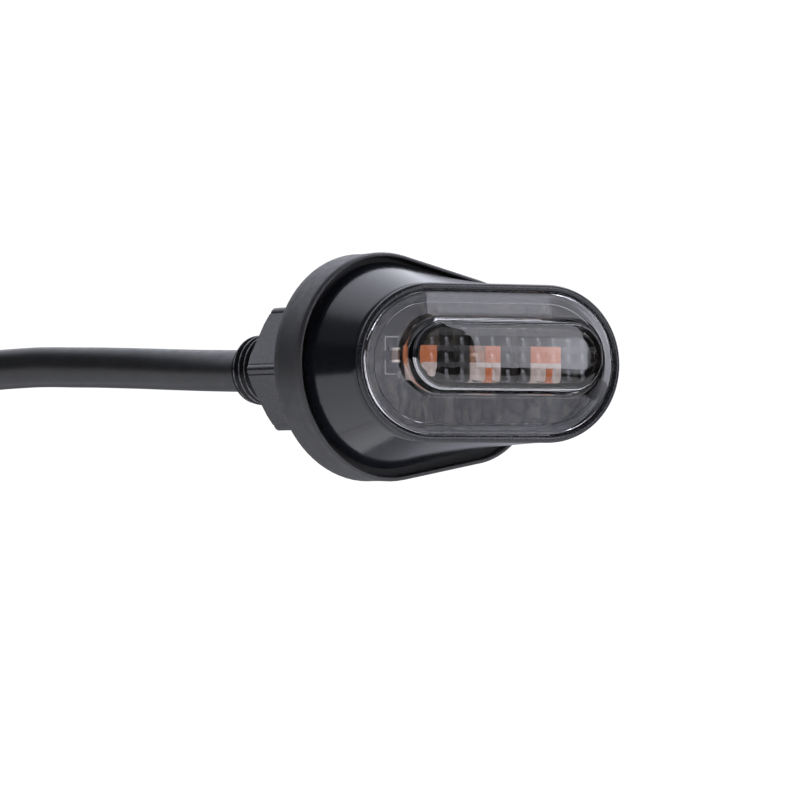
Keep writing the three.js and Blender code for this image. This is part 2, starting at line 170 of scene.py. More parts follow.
CAMERA_AZIMUTH = -39
CAMERA_ELEVATION = -1.2
CAMERA_DISTANCE = 0.43
CAMERA_LENS = 142.2  # focal length on a 36 mm sensor
AIM_RIGHT = 0.0049
AIM_UP = -0.00458


def add_camera():
    """A long lens from the front left, a little below the lamp's middle."""
    back = facing(CAMERA_AZIMUTH, CAMERA_ELEVATION)
    right = facing(CAMERA_AZIMUTH + 90, 0)
    up = back.cross(right)
    camera = bpy.data.cameras.new("camera")
    camera.sensor_width = 36
    camera.lens = CAMERA_LENS
    camera.clip_start = 0.01
    camera.clip_end = 50
    eye = new_object("camera", camera)
    eye.matrix_world = Matrix((right, up, back)).transposed().to_4x4()
    eye.location = back * CAMERA_DISTANCE + right * AIM_RIGHT + up * AIM_UP
    bpy.context.scene.camera = eye


def add_softbox(name, azimuth, elevation, distance, size, radiance):
    """A rectangular soft light that faces the lamp. Its size is across and up, in metres."""
    back = facing(azimuth, elevation)
    light = bpy.data.lights.new(name, "AREA")
    light.color = (0.97, 0.98, 1.08)
    light.shape = "RECTANGLE"
    light.size, light.size_y = size
    light.energy = radiance * math.pi * size[0] * size[1]
    box = new_object(name, light)
    box.location = back * distance
    box.rotation_euler = (-back).to_track_quat("-Z", "Y").to_euler()
    box.visible_camera = False


SKY_TOWARDS = (0.726, 0.653, 0.218)  # the side that the studio's pale walls and ceiling are on
SKY_STOPS = [(0.15, 0.15), (0.2, 0.3), (0.26, 0.85), (0.42, 1.35), (0.75, 1.45), (1.0, 1.7)]
SKY_TINT = (0.98, 1, 1.12)
# The share of the sky that is left at each height, from straight down at 0 to straight up at 1.
HAZE_STOPS = [(0.0, 0.26), (0.49, 0.24), (0.5, 0.2), (0.62, 0.2), (0.68, 1.0), (1.0, 1.0)]
BACKDROP = 1.05
# Soft round lights: where each one is (azimuth, elevation), its inner and outer radius in degrees,
# and its brightness.
GLOWS = [((13, 3), 4, 8, 3.2), ((96, 0), 12, 30, 2.4), ((2, -36), 15, 26, 4.5)]


def facing(azimuth, elevation):
    """The unit vector to a place round the lamp. Azimuth 0 is straight outboard, 90 to the right."""
    a, e = math.radians(azimuth), math.radians(elevation)
    return Vector((math.sin(a) * math.cos(e), -math.cos(a) * math.cos(e), math.sin(e)))


def add_world():
    """A dim studio with pale walls and ceiling behind and to the right, and soft glows. Where the
    camera sees it directly it is plain white."""
    world = bpy.data.worlds.new("studio")
    world.use_nodes = True
    tree = world.node_tree
    tree.nodes.clear()
    new, link = tree.nodes.new, tree.links.new
    direction = new("ShaderNodeTexCoord").outputs["Generated"]

    def shade(value, stops, tint):
        ramp = new("ShaderNodeValToRGB")
        set_stops(ramp, [(at, [grey * share for share in tint]) for at, grey in stops])
        link(value, ramp.inputs["Fac"])
        return ramp.outputs["Color"]

    def toward(axis, stops):
        dot = new("ShaderNodeVectorMath")
        dot.operation = "DOT_PRODUCT"
        dot.inputs[1].default_value = axis
        link(direction, dot.inputs[0])
        return shade(dot.outputs["Value"], stops, SKY_TINT)

    def combined(a, b, how):
        both = new("ShaderNodeMix")
        both.data_type = "RGBA"
        both.blend_type = how
        both.inputs["Factor"].default_value = 1
        link(a, both.inputs["A"])
        link(b, both.inputs["B"])
        return both.outputs["Result"]

    height = new("ShaderNodeSeparateXYZ")
    link(direction, height.inputs[0])
    scale = new("ShaderNodeMapRange")
    scale.inputs["From Min"].default_value = -1
    link(height.outputs["Z"], scale.inputs["Value"])
    haze = shade(scale.outputs["Result"], HAZE_STOPS, (1, 1, 1))
    colour = combined(toward(SKY_TOWARDS, SKY_STOPS), haze, "MULTIPLY")
    for place, inner, outer, grey in GLOWS:
        stops = [(math.cos(math.radians(outer)), 0), (math.cos(math.radians(inner)), grey)]
        colour = combined(colour, toward(facing(*place), stops), "LIGHTEN")
    light = new("ShaderNodeBackground")
    link(colour, light.inputs["Color"])
    white = new("ShaderNodeBackground")
    white.inputs["Color"].default_value = (1, 1, 1, 1)
    white.inputs["Strength"].default_value = BACKDROP
    path = new("ShaderNodeLightPath")
    seen = new("ShaderNodeMixShader")
    link(path.outputs["Is Camera Ray"], seen.inputs["Fac"])
    link(light.outputs[0], seen.inputs[1])
    link(white.outputs[0], seen.inputs[2])
    link(seen.outputs[0], new("ShaderNodeOutputWorld").inputs["Surface"])
    bpy.context.scene.world = world


FLOOR_HALF = (2.5, 1.7, 1)  # half its width and depth, in metres
FLOOR_TURN = math.radians(-58)
FLOOR_PLACE = (0, -1.45, -0.4)


def add_floor():
    """A wide pale floor, well below the lamp, which a panel would hold up."""
    bm = bmesh.new()
    bmesh.ops.create_grid(bm, x_segments=8, y_segments=8, size=1)
    bmesh.ops.scale(bm, verts=bm.verts, vec=FLOOR_HALF)
    turn = Matrix.Rotation(FLOOR_TURN, 4, "Z")
    bmesh.ops.transform(bm, matrix=turn @ Matrix.Translation(FLOOR_PLACE), verts=bm.verts)
    mesh = bpy.data.meshes.new("floor")
    bm.to_mesh(mesh)
    bm.free()
    floor = new_object("floor", mesh)
    paint = Paint("pale_floor")
    paint.colour((0.86, 0.86, 0.86), (0.9, 0.9, 0.9), scale=3)
    paint.set(Roughness=0.9)
    paint.shader.inputs["Emission Color"].default_value = (1, 1, 1, 1)
    paint.shader.inputs["Emission Strength"].default_value = 0.56
    mesh.materials.append(paint.material)


# ---- Materials ----


def set_stops(ramp, stops):
    """Gives a colour ramp node its stops, each a place and a colour."""
    elements = ramp.color_ramp.elements
    while len(elements) < len(stops):
        elements.new(1)
    for element, (at, colour) in zip(elements, stops):
        element.position = at
        element.color = (*colour, 1)


class Paint:
    """One procedural material round a Principled shader, with short calls for its nodes."""

    def __init__(self, name):
        self.material = bpy.data.materials.new(name)
        self.material.use_nodes = True
        self.tree = self.material.node_tree
        self.shader = self.tree.nodes["Principled BSDF"]
        self.output = self.tree.nodes["Material Output"]
        self.where = self.node("ShaderNodeTexCoord").outputs["Object"]

    def node(self, kind, **settings):
        made = self.tree.nodes.new(kind)
        for name, value in settings.items():
            setattr(made, name, value)
        return made

    def link(self, source, target):
        self.tree.links.new(source, target)

    def set(self, **values):
        """Sets the shader's own sockets. An underscore in a name stands for a space."""
        for name, value in values.items():
            self.shader.inputs[name.replace("_", " ")].default_value = value
        return self

    def noise(self, scale, detail=3, stretch=(1, 1, 1)):
        """Noise with about scale blobs to a metre, stretched along the axes."""
        mapping = self.node("ShaderNodeMapping")
        mapping.inputs["Scale"].default_value = stretch
        self.link(self.where, mapping.inputs["Vector"])
        made = self.node("ShaderNodeTexNoise")
        made.inputs["Scale"].default_value = scale
        made.inputs["Detail"].default_value = detail
        self.link(mapping.outputs["Vector"], made.inputs["Vector"])
        return made.outputs["Fac"]

    def painted(self, name):
        """A number that the mesh holds at each vertex."""
        return self.node("ShaderNodeAttribute", attribute_name=name).outputs["Fac"]

    def ramp(self, factor, stops):
        made = self.node("ShaderNodeValToRGB")
        set_stops(made, stops)
        self.link(factor, made.inputs["Fac"])
        return made.outputs["Color"]

    def between(self, factor, low, high, low_out=0, high_out=1):
        """Maps a factor from one range to another, held at its ends."""
        made = self.node("ShaderNodeMapRange")
        ends = {"From Min": low, "From Max": high, "To Min": low_out, "To Max": high_out}
        for socket, value in ends.items():
            made.inputs[socket].default_value = value
        self.link(factor, made.inputs["Value"])
        return made.outputs["Result"]

    def maths(self, a, b, operation="MULTIPLY"):
        """Combines two numbers, each plain or from a node."""
        made = self.node("ShaderNodeMath", operation=operation)
        for socket, value in zip(made.inputs, (a, b)):
            if isinstance(value, (int, float)):
                socket.default_value = value
            else:
                self.link(value, socket)
        return made.outputs[0]

    def mix(self, factor, a, b):
        made = self.node("ShaderNodeMix", data_type="RGBA")
        self.link(factor, made.inputs["Factor"])
        for socket, value in ((made.inputs["A"], a), (made.inputs["B"], b)):
            if isinstance(value, tuple):
                socket.default_value = (*value, 1)
            else:
                self.link(value, socket)
        return made.outputs["Result"]

    def base(self, colour):
        self.link(colour, self.shader.inputs["Base Color"])

    def colour(self, dark, light, scale=200, detail=3):
        """A base colour that drifts between two values."""
        drift = self.ramp(self.noise(scale, detail), [(0.35, dark), (0.65, light)])
        self.base(drift)
        return drift

    def roughness(self, low, high, scale=400, detail=4):
        value = self.between(self.noise(scale, detail), 0.3, 0.7, low, high)
        self.link(value, self.shader.inputs["Roughness"])

    def bump(self, height, distance, strength=1.0, over=None):
        """Relief from a height, in metres, on top of another bump's normal if one is given."""
        made = self.node("ShaderNodeBump")
        made.inputs["Strength"].default_value = strength
        made.inputs["Distance"].default_value = distance
        self.link(height, made.inputs["Height"])
        if over is not None:
            self.link(over, made.inputs["Normal"])
        self.link(made.outputs["Normal"], self.shader.inputs["Normal"])
        return made.outputs["Normal"]


def rubber(name, dark, light, roughness):
    """Moulded rubber: a fine grain, and edges that handling has worn paler."""
    paint = Paint(name)
    drift = paint.colour(dark, light, scale=240, detail=6)
    specks = paint.between(paint.noise(6500, 2), 0.42, 0.62)
    worn_and_lit = paint.maths(paint.painted("wear_and_highlight"), specks)
    paint.base(paint.mix(worn_and_lit, drift, tuple(min(1, 6 * c) for c in light)))
    paint.roughness(*roughness, scale=900)
    broad = paint.bump(paint.noise(700, 3), 0.00006, 0.35)
    paint.bump(paint.noise(4200, 3), 0.00003, 0.6, over=broad)
    return paint.material


def housing_paint():
    """Satin black powder coat, with fine lines round the walls and a coarser skin on the bead.
    The bead, its groove and the base's edge are painted paler in specks: a painted highlight.
    """
    paint = Paint("housing_paint")
    drift = paint.colour((0.0060, 0.0066, 0.0090), (0.0085, 0.0092, 0.0125), scale=150, detail=5)
    # Paler specks where the mesh marks them: a painted highlight on the bead, its groove and the
    # base's edge.
    specks = paint.between(paint.noise(5200, 3), 0.5, 0.66)
    worn_and_lit = paint.maths(paint.painted("wear_and_highlight"), specks)
    paint.base(paint.mix(worn_and_lit, drift, (0.035, 0.035, 0.038)))
    smooth = paint.between(paint.noise(1300, 5), 0.3, 0.7, 0.11, 0.17)
    rough = paint.maths(smooth, paint.maths(paint.painted("wear_and_highlight"), 0.05), "ADD")
    paint.link(rough, paint.shader.inputs["Roughness"])
    lines = paint.bump(paint.noise(300, 2, stretch=(1, 14, 1)), 0.00001, 0.35)
    peel = paint.bump(paint.noise(2600, 3), 0.000012, 0.45, over=lines)
    coarse = paint.maths(paint.noise(3800, 4), paint.painted("wear_and_highlight"))
    paint.bump(coarse, 0.000035, 0.5, over=peel)
    return paint.material


def black_steel(name, base, roughness, specular):
    """Blackened steel: a matt conversion coat with a fine relief. It is painted paler where the mesh
    marks it: a painted highlight on the thread's crests, and at the stem bore's mouth.
    """
    paint = Paint(name)
    drift = paint.colour(tuple(0.8 * c for c in base), base, scale=420, detail=5)
    # Paler where the mesh marks it: a painted highlight along the thread's crests.
    patches = paint.between(paint.noise(900, 3), 0.35, 0.6)
    worn_and_lit = paint.maths(paint.painted("wear_and_highlight"), patches)
    paint.base(paint.mix(worn_and_lit, drift, (0.30, 0.30, 0.32)))
    paint.roughness(*roughness, scale=1500)
    paint.set(Specular_IOR_Level=specular)
    paint.bump(paint.noise(2400, 4), 0.000006, 0.5)
    return paint.material


def soft_plastic(name, dark, light, roughness, relief=0.00001, scale=1400):
    """A dull moulded plastic with a faint relief."""
    paint = Paint(name)
    paint.colour(dark, light, scale=160, detail=4)
    paint.roughness(*roughness, scale=700)
    paint.bump(paint.noise(scale, 3), relief, 0.4)
    return paint.material


def smoked_lens():
    """Smoked polycarbonate. Light from lamps passes straight through, and what is seen is bent."""
    paint = Paint("smoked_lens")
    paint.colour((0.65, 0.65, 0.67), (0.68, 0.68, 0.70), scale=60, detail=2)
    paint.set(Roughness=0.015, IOR=1.5, Transmission_Weight=1.0)
    clear = paint.node("ShaderNodeBsdfTransparent")
    clear.inputs["Color"].default_value = (0.96, 0.96, 0.97, 1)
    mixed = paint.node("ShaderNodeMixShader")
    path = paint.node("ShaderNodeLightPath")
    paint.link(path.outputs["Is Shadow Ray"], mixed.inputs["Fac"])
    paint.link(paint.shader.outputs["BSDF"], mixed.inputs[1])
    paint.link(clear.outputs["BSDF"], mixed.inputs[2])
    paint.link(mixed.outputs["Shader"], paint.output.inputs["Surface"])
    return paint.material


def resin(name, deep, pale, speckle=0.5):
    """Cast LED resin with phosphor grain."""
    paint = Paint(name)
    grain = paint.noise(2600, 6)
    paint.base(paint.ramp(grain, [(0.5 - speckle / 2, deep), (0.5 + speckle / 2, pale)]))
    paint.roughness(0.3, 0.5, scale=2000)
    paint.bump(paint.noise(4200, 3), 0.00002, 0.5)
    return paint.material


def board_mask():
    """Black solder resist over copper, mottled by the weave under it."""
    paint = Paint("board_mask")
    weave = paint.noise(1300, 5, stretch=(1, 1, 0.35))
    patch = paint.noise(420, 3, stretch=(1, 1, 0.6))
    dull = paint.ramp(weave, [(0.4, (0.006, 0.006, 0.006)), (0.58, (0.035, 0.03, 0.024))])
    bright = paint.ramp(weave, [(0.4, (0.018, 0.018, 0.017)), (0.62, (0.13, 0.11, 0.08))])
    paint.base(paint.mix(paint.between(patch, 0.45, 0.6), dull, bright))
    paint.roughness(0.7, 0.9)
    paint.set(Specular_IOR_Level=0.15)
    paint.bump(weave, 0.00003, 0.5)
    return paint.material


def bare_metal(name, dark, light, roughness):
    """Uncoated metal, a little tarnished."""
    paint = Paint(name)
    paint.colour(dark, light, scale=900, detail=4)
    paint.set(Metallic=1.0)
    paint.roughness(*roughness, scale=2200)
    paint.bump(paint.noise(3000, 3), 0.00001, 0.4)
    return paint.material


# ---- Outlines and meshes ----


class Rings:
    """Rings that a skin will go through, each with how much paler it is painted: wear on the pad,
    a painted highlight on the housing.
    """

    def __init__(self):
        self.rings, self.wear_and_highlight = [], []

    def add(self, points, worn_and_lit=0.0):
        self.rings.append(points)
        self.wear_and_highlight.append(worn_and_lit)

    def skin(self):
        return skin(self.rings, True, self.wear_and_highlight)


class Plane:
    """A plane that faces outboard. Its u is level, its v is up and its w points out of it."""

    def __init__(self, origin, yaw):
        self.origin = Vector(origin)
        self.u = Vector((math.cos(yaw), -math.sin(yaw), 0))
        self.v = Vector((0, 0, 1))
        self.w = self.u.cross(self.v)

    def at(self, u, v, w):
        return self.origin + self.u * u + self.v * v + self.w * w


PAD_PLANE = Plane((0, 0, 0), 0)
LENS_PLANE = Plane(LENS_CENTRE, LENS_YAW)


def stadium(radius, half):
    """The outline that wraps two equal circles."""
    return (-half, half, radius, radius)


def wrap(outline, inset=0):
    """The outline round two circles, moved inwards, anticlockwise, as (u, v) pairs."""
    left, right, r_left, r_right = outline
    lean = math.asin((r_left - r_right) / (right - left))
    turn = math.pi / 2 - lean

    def arc(middle, radius, start, stop):
        angles = [start + (stop - start) * i / ARC_STEPS for i in range(ARC_STEPS + 1)]
        return [(middle + radius * math.cos(a), radius * math.sin(a)) for a in angles]

    def straight(a, b):
        shares = [i / STRAIGHT_STEPS for i in range(1, STRAIGHT_STEPS)]
        return [(a[0] + (b[0] - a[0]) * t, a[1] + (b[1] - a[1]) * t) for t in shares]

    first = arc(right, r_right - inset, -turn, turn)
    second = arc(left, r_left - inset, turn, 2 * math.pi - turn)
    return first + straight(first[-1], second[0]) + second + straight(second[-1], first[0])


def ring(plane, outline, inset, w, shift=(0, 0)):
    return [plane.at(u + shift[0], v + shift[1], w) for u, v in wrap(outline, inset)]


def hole_ring(radius, w):
    """A circle on the stem's axis, with its points lined up with those of the pad's outline."""
    angles = [math.atan2(v, u) for u, v in wrap(PAD)]
    return [PAD_PLANE.at(radius * math.cos(a), radius * math.sin(a), w) for a in angles]


def blend(a, b, share):
    """The ring part of the way from one ring to another."""
    return [p.lerp(q, share) for p, q in zip(a, b)]


def quarter(start, stop, steps):
    """Cosines and sines of angles in degrees, evenly spaced, for rounding an edge."""
    angles = [math.radians(start + (stop - start) * i / steps) for i in range(steps + 1)]
    return [(math.cos(a), math.sin(a)) for a in angles]


def catmull(points, steps):
    """A smooth line through points in a plane, with steps between each two."""
    ends = [points[0], *points, points[-1]]
    line = []
    for a, b, c, d in zip(ends, ends[1:], ends[2:], ends[3:]):
        for i in range(steps):
            t = i / steps
            line.append(tuple(
                b[k] + 0.5 * t * (c[k] - a[k] + t * (2 * a[k] - 5 * b[k] + 4 * c[k] - d[k]
                + t * (3 * (b[k] - c[k]) + d[k] - a[k])))
                for k in (0, 1)
            ))
    return [*line, points[-1]]


def new_mesh():
    """An empty bmesh whose vertices say how much paler they are painted, from 0 to 1: wear on the
    rubber, a painted highlight on the housing and the thread's crests.
    """
    bm = bmesh.new()
    bm.verts.layers.float.new("wear_and_highlight")
    return bm


def skin(rings, closed=False, wear_and_highlight=None):
    """A bmesh through rings of equal length. Closed joins the last ring to the first; otherwise
    both ends are filled. The wear and painted highlight is one number for each ring."""
    count = len(rings[0])
    bm = new_mesh()
    layer = bm.verts.layers.float["wear_and_highlight"]
    verts = []
    for i, points in enumerate(rings):
        for p in points:
            vert = bm.verts.new(p * MM)
            vert[layer] = wear_and_highlight[i] if wear_and_highlight else 0
            verts.append(vert)
    for i in range(len(rings) if closed else len(rings) - 1):
        a, b = i * count, (i + 1) % len(rings) * count
        for j in range(count):
            k = (j + 1) % count
            bm.faces.new((verts[a + j], verts[a + k], verts[b + k], verts[b + j]))
    if not closed:
        bm.faces.new(verts[:count][::-1])
        bm.faces.new(verts[-count:])
    return bm


def circle(radius, y, steps=TURN_STEPS):
    angles = [2 * math.pi * i / steps for i in range(steps)]
    return [Vector((radius * math.sin(a), y, radius * math.cos(a))) for a in angles]


def turned(profile, steps, closed=True):
    """A bmesh turned about the Y axis from (radius, y) pairs."""
    return skin([circle(r, y, steps) for r, y in profile], closed)


def strip(bm, rows):
    """Adds a tube through closed rows of (place, wear and painted highlight) pairs, left open at
    both ends.
    """
    layer = bm.verts.layers.float["wear_and_highlight"]
    made = []
    for row in rows:
        made.append([])
        for place, worn_and_lit in row:
            vert = bm.verts.new(place * MM)
            vert[layer] = worn_and_lit
            made[-1].append(vert)
    for a, b in zip(made, made[1:]):
        for i in range(len(a)):
            j = (i + 1) % len(a)
            bm.faces.new((a[i], a[j], b[j], b[i]))


def hang(bm, sideways, z):
    """Stands a bmesh that was made along Y upright under the jacket's end."""
    x, y, _ = JACKET_ROUTE[-1]
    place = Matrix.Translation(Vector((x + sideways, y, z)) * MM)
    upright = Matrix.Rotation(math.pi / 2, 4, "X")
    bmesh.ops.transform(bm, matrix=place @ upright, verts=bm.verts)
    return bm


def add_block(bm, size, place, bevel=0.06, index=0):
    """Adds a box with bevelled edges, standing on the lens plane's (u, v, w), to a bmesh."""
    su, sv, sw = (s / 2 for s in size)
    u, v, w = place
    corners = [
        bm.verts.new(LENS_PLANE.at(u + a * su, v + b * sv, w + sw + c * sw) * MM)
        for c in (-1, 1) for b in (-1, 1) for a in (-1, 1)
    ]
    sides = [(0, 2, 3, 1), (4, 5, 7, 6), (0, 1, 5, 4), (2, 6, 7, 3), (0, 4, 6, 2), (1, 3, 7, 5)]
    others = set(bm.faces)
    faces = [bm.faces.new([corners[i] for i in side]) for side in sides]
    edges = list(dict.fromkeys(edge for face in faces for edge in face.edges))
    if bevel:
        bmesh.ops.bevel(bm, geom=edges, offset=bevel * MM, segments=2, affect="EDGES", profile=0.5)
    for face in set(bm.faces) - others:
        face.material_index = index


def finish_piece(name, bm, body, materials, node, sharp=SMOOTH_ANGLE):
    """Turns a bmesh into a piece that rides on a body and stands for a CAD node, with its edges
    sharp past an angle."""
    bmesh.ops.recalc_face_normals(bm, faces=bm.faces)
    for face in bm.faces:
        face.smooth = True
    for edge in bm.edges:
        if edge.calc_face_angle(0) > sharp:
            edge.smooth = False
    mesh = bpy.data.meshes.new(name)
    bm.to_mesh(mesh)
    bm.free()
    piece = new_object(name, mesh)
    for material in materials:
        mesh.materials.append(material)
    return settle(piece, body, node)


def settle(piece, body, node):
    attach(piece, body)
    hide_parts(node)
    return piece


def add_cord(name, points, radius, material, node):
    """A round cord as a curve of one open spline through points."""
    curve = bpy.data.curves.new(name, "CURVE")
    curve.dimensions = "3D"
    curve.bevel_depth = radius * MM
    curve.bevel_resolution = 10
    curve.resolution_u = 10
    curve.use_fill_caps = True
    spline = curve.splines.new("BEZIER")
    spline.bezier_points.add(len(points) - 1)
    for knot, point in zip(spline.bezier_points, points):
        knot.co = Vector(point) * MM
        knot.handle_left_type = knot.handle_right_type = "AUTO"
    curve.materials.append(material)
    cord = new_object(name, curve)
    return settle(cord, "lamp", node)


# ---- Lead ----

SLEEVE_TOP = JACKET_ROUTE[-1][Z] - GAP
SLEEVE_LENGTH = 12
SLEEVE_RADIUS = 3.5
TAIL_TOP = SLEEVE_TOP - SLEEVE_LENGTH - GAP
TAIL_LENGTH = 32
TAIL_END = TAIL_TOP - TAIL_LENGTH
TERMINAL_RADIUS = 1.95
TERMINAL_LENGTH = 16
BARREL_LENGTH = 8
CAP_RADIUS = 2.9
CAP_OVER_WIRE = 2


def add_sleeve(material):
    """Shrunk tubing over the jacket's end: it necks in where it leaves the jacket for the wires."""
    neck = 4
    profile = [(SLEEVE_RADIUS - 0.25, 0), (SLEEVE_RADIUS - 0.05, -0.12), (SLEEVE_RADIUS, -0.4)]
    profile += [(SLEEVE_RADIUS - 0.06 * (i % 2), -1 - i * 0.8) for i in range(8)]
    profile += [
        (SLEEVE_RADIUS - 0.55 * (1 - math.cos(math.pi * t)) / 2,
         neck - SLEEVE_LENGTH - t * (neck - 0.4))
        for t in (0.0, 0.2, 0.4, 0.6, 0.8, 1.0)
    ]
    profile += [(SLEEVE_RADIUS - 0.62, -SLEEVE_LENGTH + 0.12), (SLEEVE_RADIUS - 0.8, -SLEEVE_LENGTH)]
    bm = turned(profile, steps=48, closed=False)
    return finish_piece(
        "shrunk_sleeve", hang(bm, 0, SLEEVE_TOP), "lamp",
        [material], "jacket_end_sleeve",
    )


def add_terminal(use, side, material):
    """A bullet terminal: a crimped barrel, a snap groove and a round nose."""
    r, barrel = TERMINAL_RADIUS, BARREL_LENGTH
    profile = [(0.9, 0), (r - 0.15, 0), (r, -0.15), (r, -barrel - 1.3), (r - 0.1, -barrel - 1.5)]
    profile += [(r - 0.4, -barrel - 1.8), (r - 0.4, -barrel - 2.6), (r - 0.1, -barrel - 2.9)]
    profile += [(r, -barrel - 3.1)]
    nose = r * 0.55
    profile += [(r - nose * (1 - c), nose - TERMINAL_LENGTH - nose * s) for c, s in quarter(0, 90, 8)]
    profile += [(0.25, -TERMINAL_LENGTH)]
    bm = turned(profile, steps=40, closed=False)
    for vert in bm.verts:
        press = math.exp(-(((vert.co.y / MM + 4) / 1.4) ** 2))
        vert.co.z *= 1 - 0.16 * press
    return finish_piece(
        f"{use}_bullet", hang(bm, side * TAIL_SPREAD, TAIL_END - GAP), "lamp",
        [material], f"{use}_terminal",
    )


def add_terminal_cap(use, side, material):
    """The soft cap over the barrel and the last of the wire, with two ribs to pull it back by."""
    bore, wire = TERMINAL_RADIUS + GAP, WIRE_RADIUS + GAP
    profile = [(bore, -BARREL_LENGTH), (CAP_RADIUS - 0.15, -BARREL_LENGTH)]
    profile += [(CAP_RADIUS, -BARREL_LENGTH + 0.2)]
    for rib in (-6.6, -5.2):
        profile += [(CAP_RADIUS, rib), (CAP_RADIUS - 0.22, rib + 0.25)]
        profile += [(CAP_RADIUS - 0.22, rib + 0.7), (CAP_RADIUS, rib + 0.95)]
    profile += [(CAP_RADIUS, -0.6)]
    shoulder = CAP_RADIUS - 1
    profile += [
        (shoulder + (CAP_RADIUS - shoulder) * c, -0.6 + (CAP_OVER_WIRE + 0.4) * s)
        for c, s in quarter(10, 80, 6)
    ]
    profile += [(shoulder - 0.1, CAP_OVER_WIRE), (wire, CAP_OVER_WIRE), (wire, GAP), (bore, GAP)]
    bm = turned(profile, steps=40)
    return finish_piece(
        f"{use}_cap", hang(bm, side * TAIL_SPREAD, TAIL_END - GAP), "lamp",
        [material], f"{use}_terminal_cap",
    )


def add_lead():
    """The jacket and, from its sleeve, two wires with their terminals."""
    sheath = soft_plastic(
        "cable_sheath", (0.0105, 0.0105, 0.0115), (0.015, 0.015, 0.0165), (0.34, 0.44), 0.00002, 900
    )
    tubing = soft_plastic(
        "shrunk_tubing", (0.008, 0.008, 0.009), (0.012, 0.012, 0.013), (0.38, 0.5), 0.00004, 500
    )
    brass = bare_metal("brass", (0.46, 0.32, 0.13), (0.62, 0.46, 0.22), (0.22, 0.4))
    cap_skin = soft_plastic("cap_vinyl", (0.02, 0.02, 0.022), (0.03, 0.03, 0.033), (0.25, 0.38))
    insulation = {
        "feed": soft_plastic(
            "orange_insulation", (0.42, 0.14, 0.02), (0.52, 0.19, 0.03), (0.35, 0.48)
        ),
        "ground": soft_plastic(
            "black_insulation", (0.01, 0.01, 0.011), (0.016, 0.016, 0.017), (0.35, 0.48)
        ),
    }
    jacket = add_cord(
        "cable_sheath", JACKET_ROUTE, JACKET_RADIUS, sheath, "cable_jacket"
    )
    sleeve = add_sleeve(tubing)
    x, y, _ = JACKET_ROUTE[-1]
    for use, side in (("feed", 1), ("ground", -1)):
        near, far = side * WIRE_OFFSET, side * TAIL_SPREAD
        route = [
            (x + near, y, TAIL_TOP),
            (x + near * 1.3, y, TAIL_TOP - TAIL_LENGTH * 0.2),
            (x + (near + far) / 2, y, TAIL_TOP - TAIL_LENGTH * 0.5),
            (x + far * 0.95, y, TAIL_TOP - TAIL_LENGTH * 0.8),
            (x + far, y, TAIL_END),
        ]
        tail = add_cord(
            f"{use}_wire_tail", route, WIRE_RADIUS, insulation[use],
            f"{use}_tail",
        )
        bullet = add_terminal(use, side, brass)
        cap = add_terminal_cap(use, side, cap_skin)
    for use in insulation:
        give(f"{use}_wire", insulation[use])


def give(node, material):
    """A CAD node keeps its shape and gets a finished material."""
    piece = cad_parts[node]
    piece.data.materials.clear()
    piece.data.materials.append(material)


# ---- Pad and housing ----


def add_pad():
    """The rubber pad: a round-edged lip round the pocket for the housing, and a groove behind."""
    front = PAD_FRONT
    shape = Rings()

    def pad_ring(inset, w, worn_and_lit=0.0):
        drop, slope = PAD_SAG
        points = ring(PAD_PLANE, PAD, inset - PAD_SWELL, w)
        shape.add([p + Vector((0, 0, drop + slope * p.x)) for p in points], worn_and_lit)

    shape.add(hole_ring(STEM_HOLE, 0))
    for inset, w in ((5.2, 0), (5.0, GROOVE_DEPTH), (3.7, GROOVE_DEPTH), (3.5, 0), (0.6, 0)):
        pad_ring(inset, w)
    for c, s in quarter(90, 0, 4):
        worn_and_lit = 0.7 if 0.2 < s < 0.9 else 0.2
        pad_ring(PAD_BACK_ROUND * (1 - c), PAD_BACK_ROUND * (1 - s), worn_and_lit)
    for w in (1.2, 2.4, 3.6, 4.4):
        pad_ring(0.05 * math.sin(math.pi * w / 5), w)
    across, deep = PAD_FRONT_ROUND
    for c, s in quarter(0, 70, 5):
        pad_ring(across * (1 - c), front - deep + deep * s, 0.1)
    for c, s in quarter(70, 0, 3):
        pad_ring(PAD_LIP - PAD_LIP_ROUND * c - 0.06, front - PAD_LIP_ROUND * (1 - s), 0.8)
    pad_ring(PAD_LIP, front - 0.3)
    pad_ring(PAD_LIP, front - PAD_POCKET)
    shape.add(hole_ring(STEM_HOLE, front - PAD_POCKET))
    material = rubber("pad_rubber", (0.017, 0.017, 0.0185), (0.026, 0.026, 0.028), (0.4, 0.52))
    finish_piece("rubber_pad", shape.skin(), "lamp", [material], "mounting_pad")


BASE_FACE = PAD_FRONT - PAD_POCKET + GAP


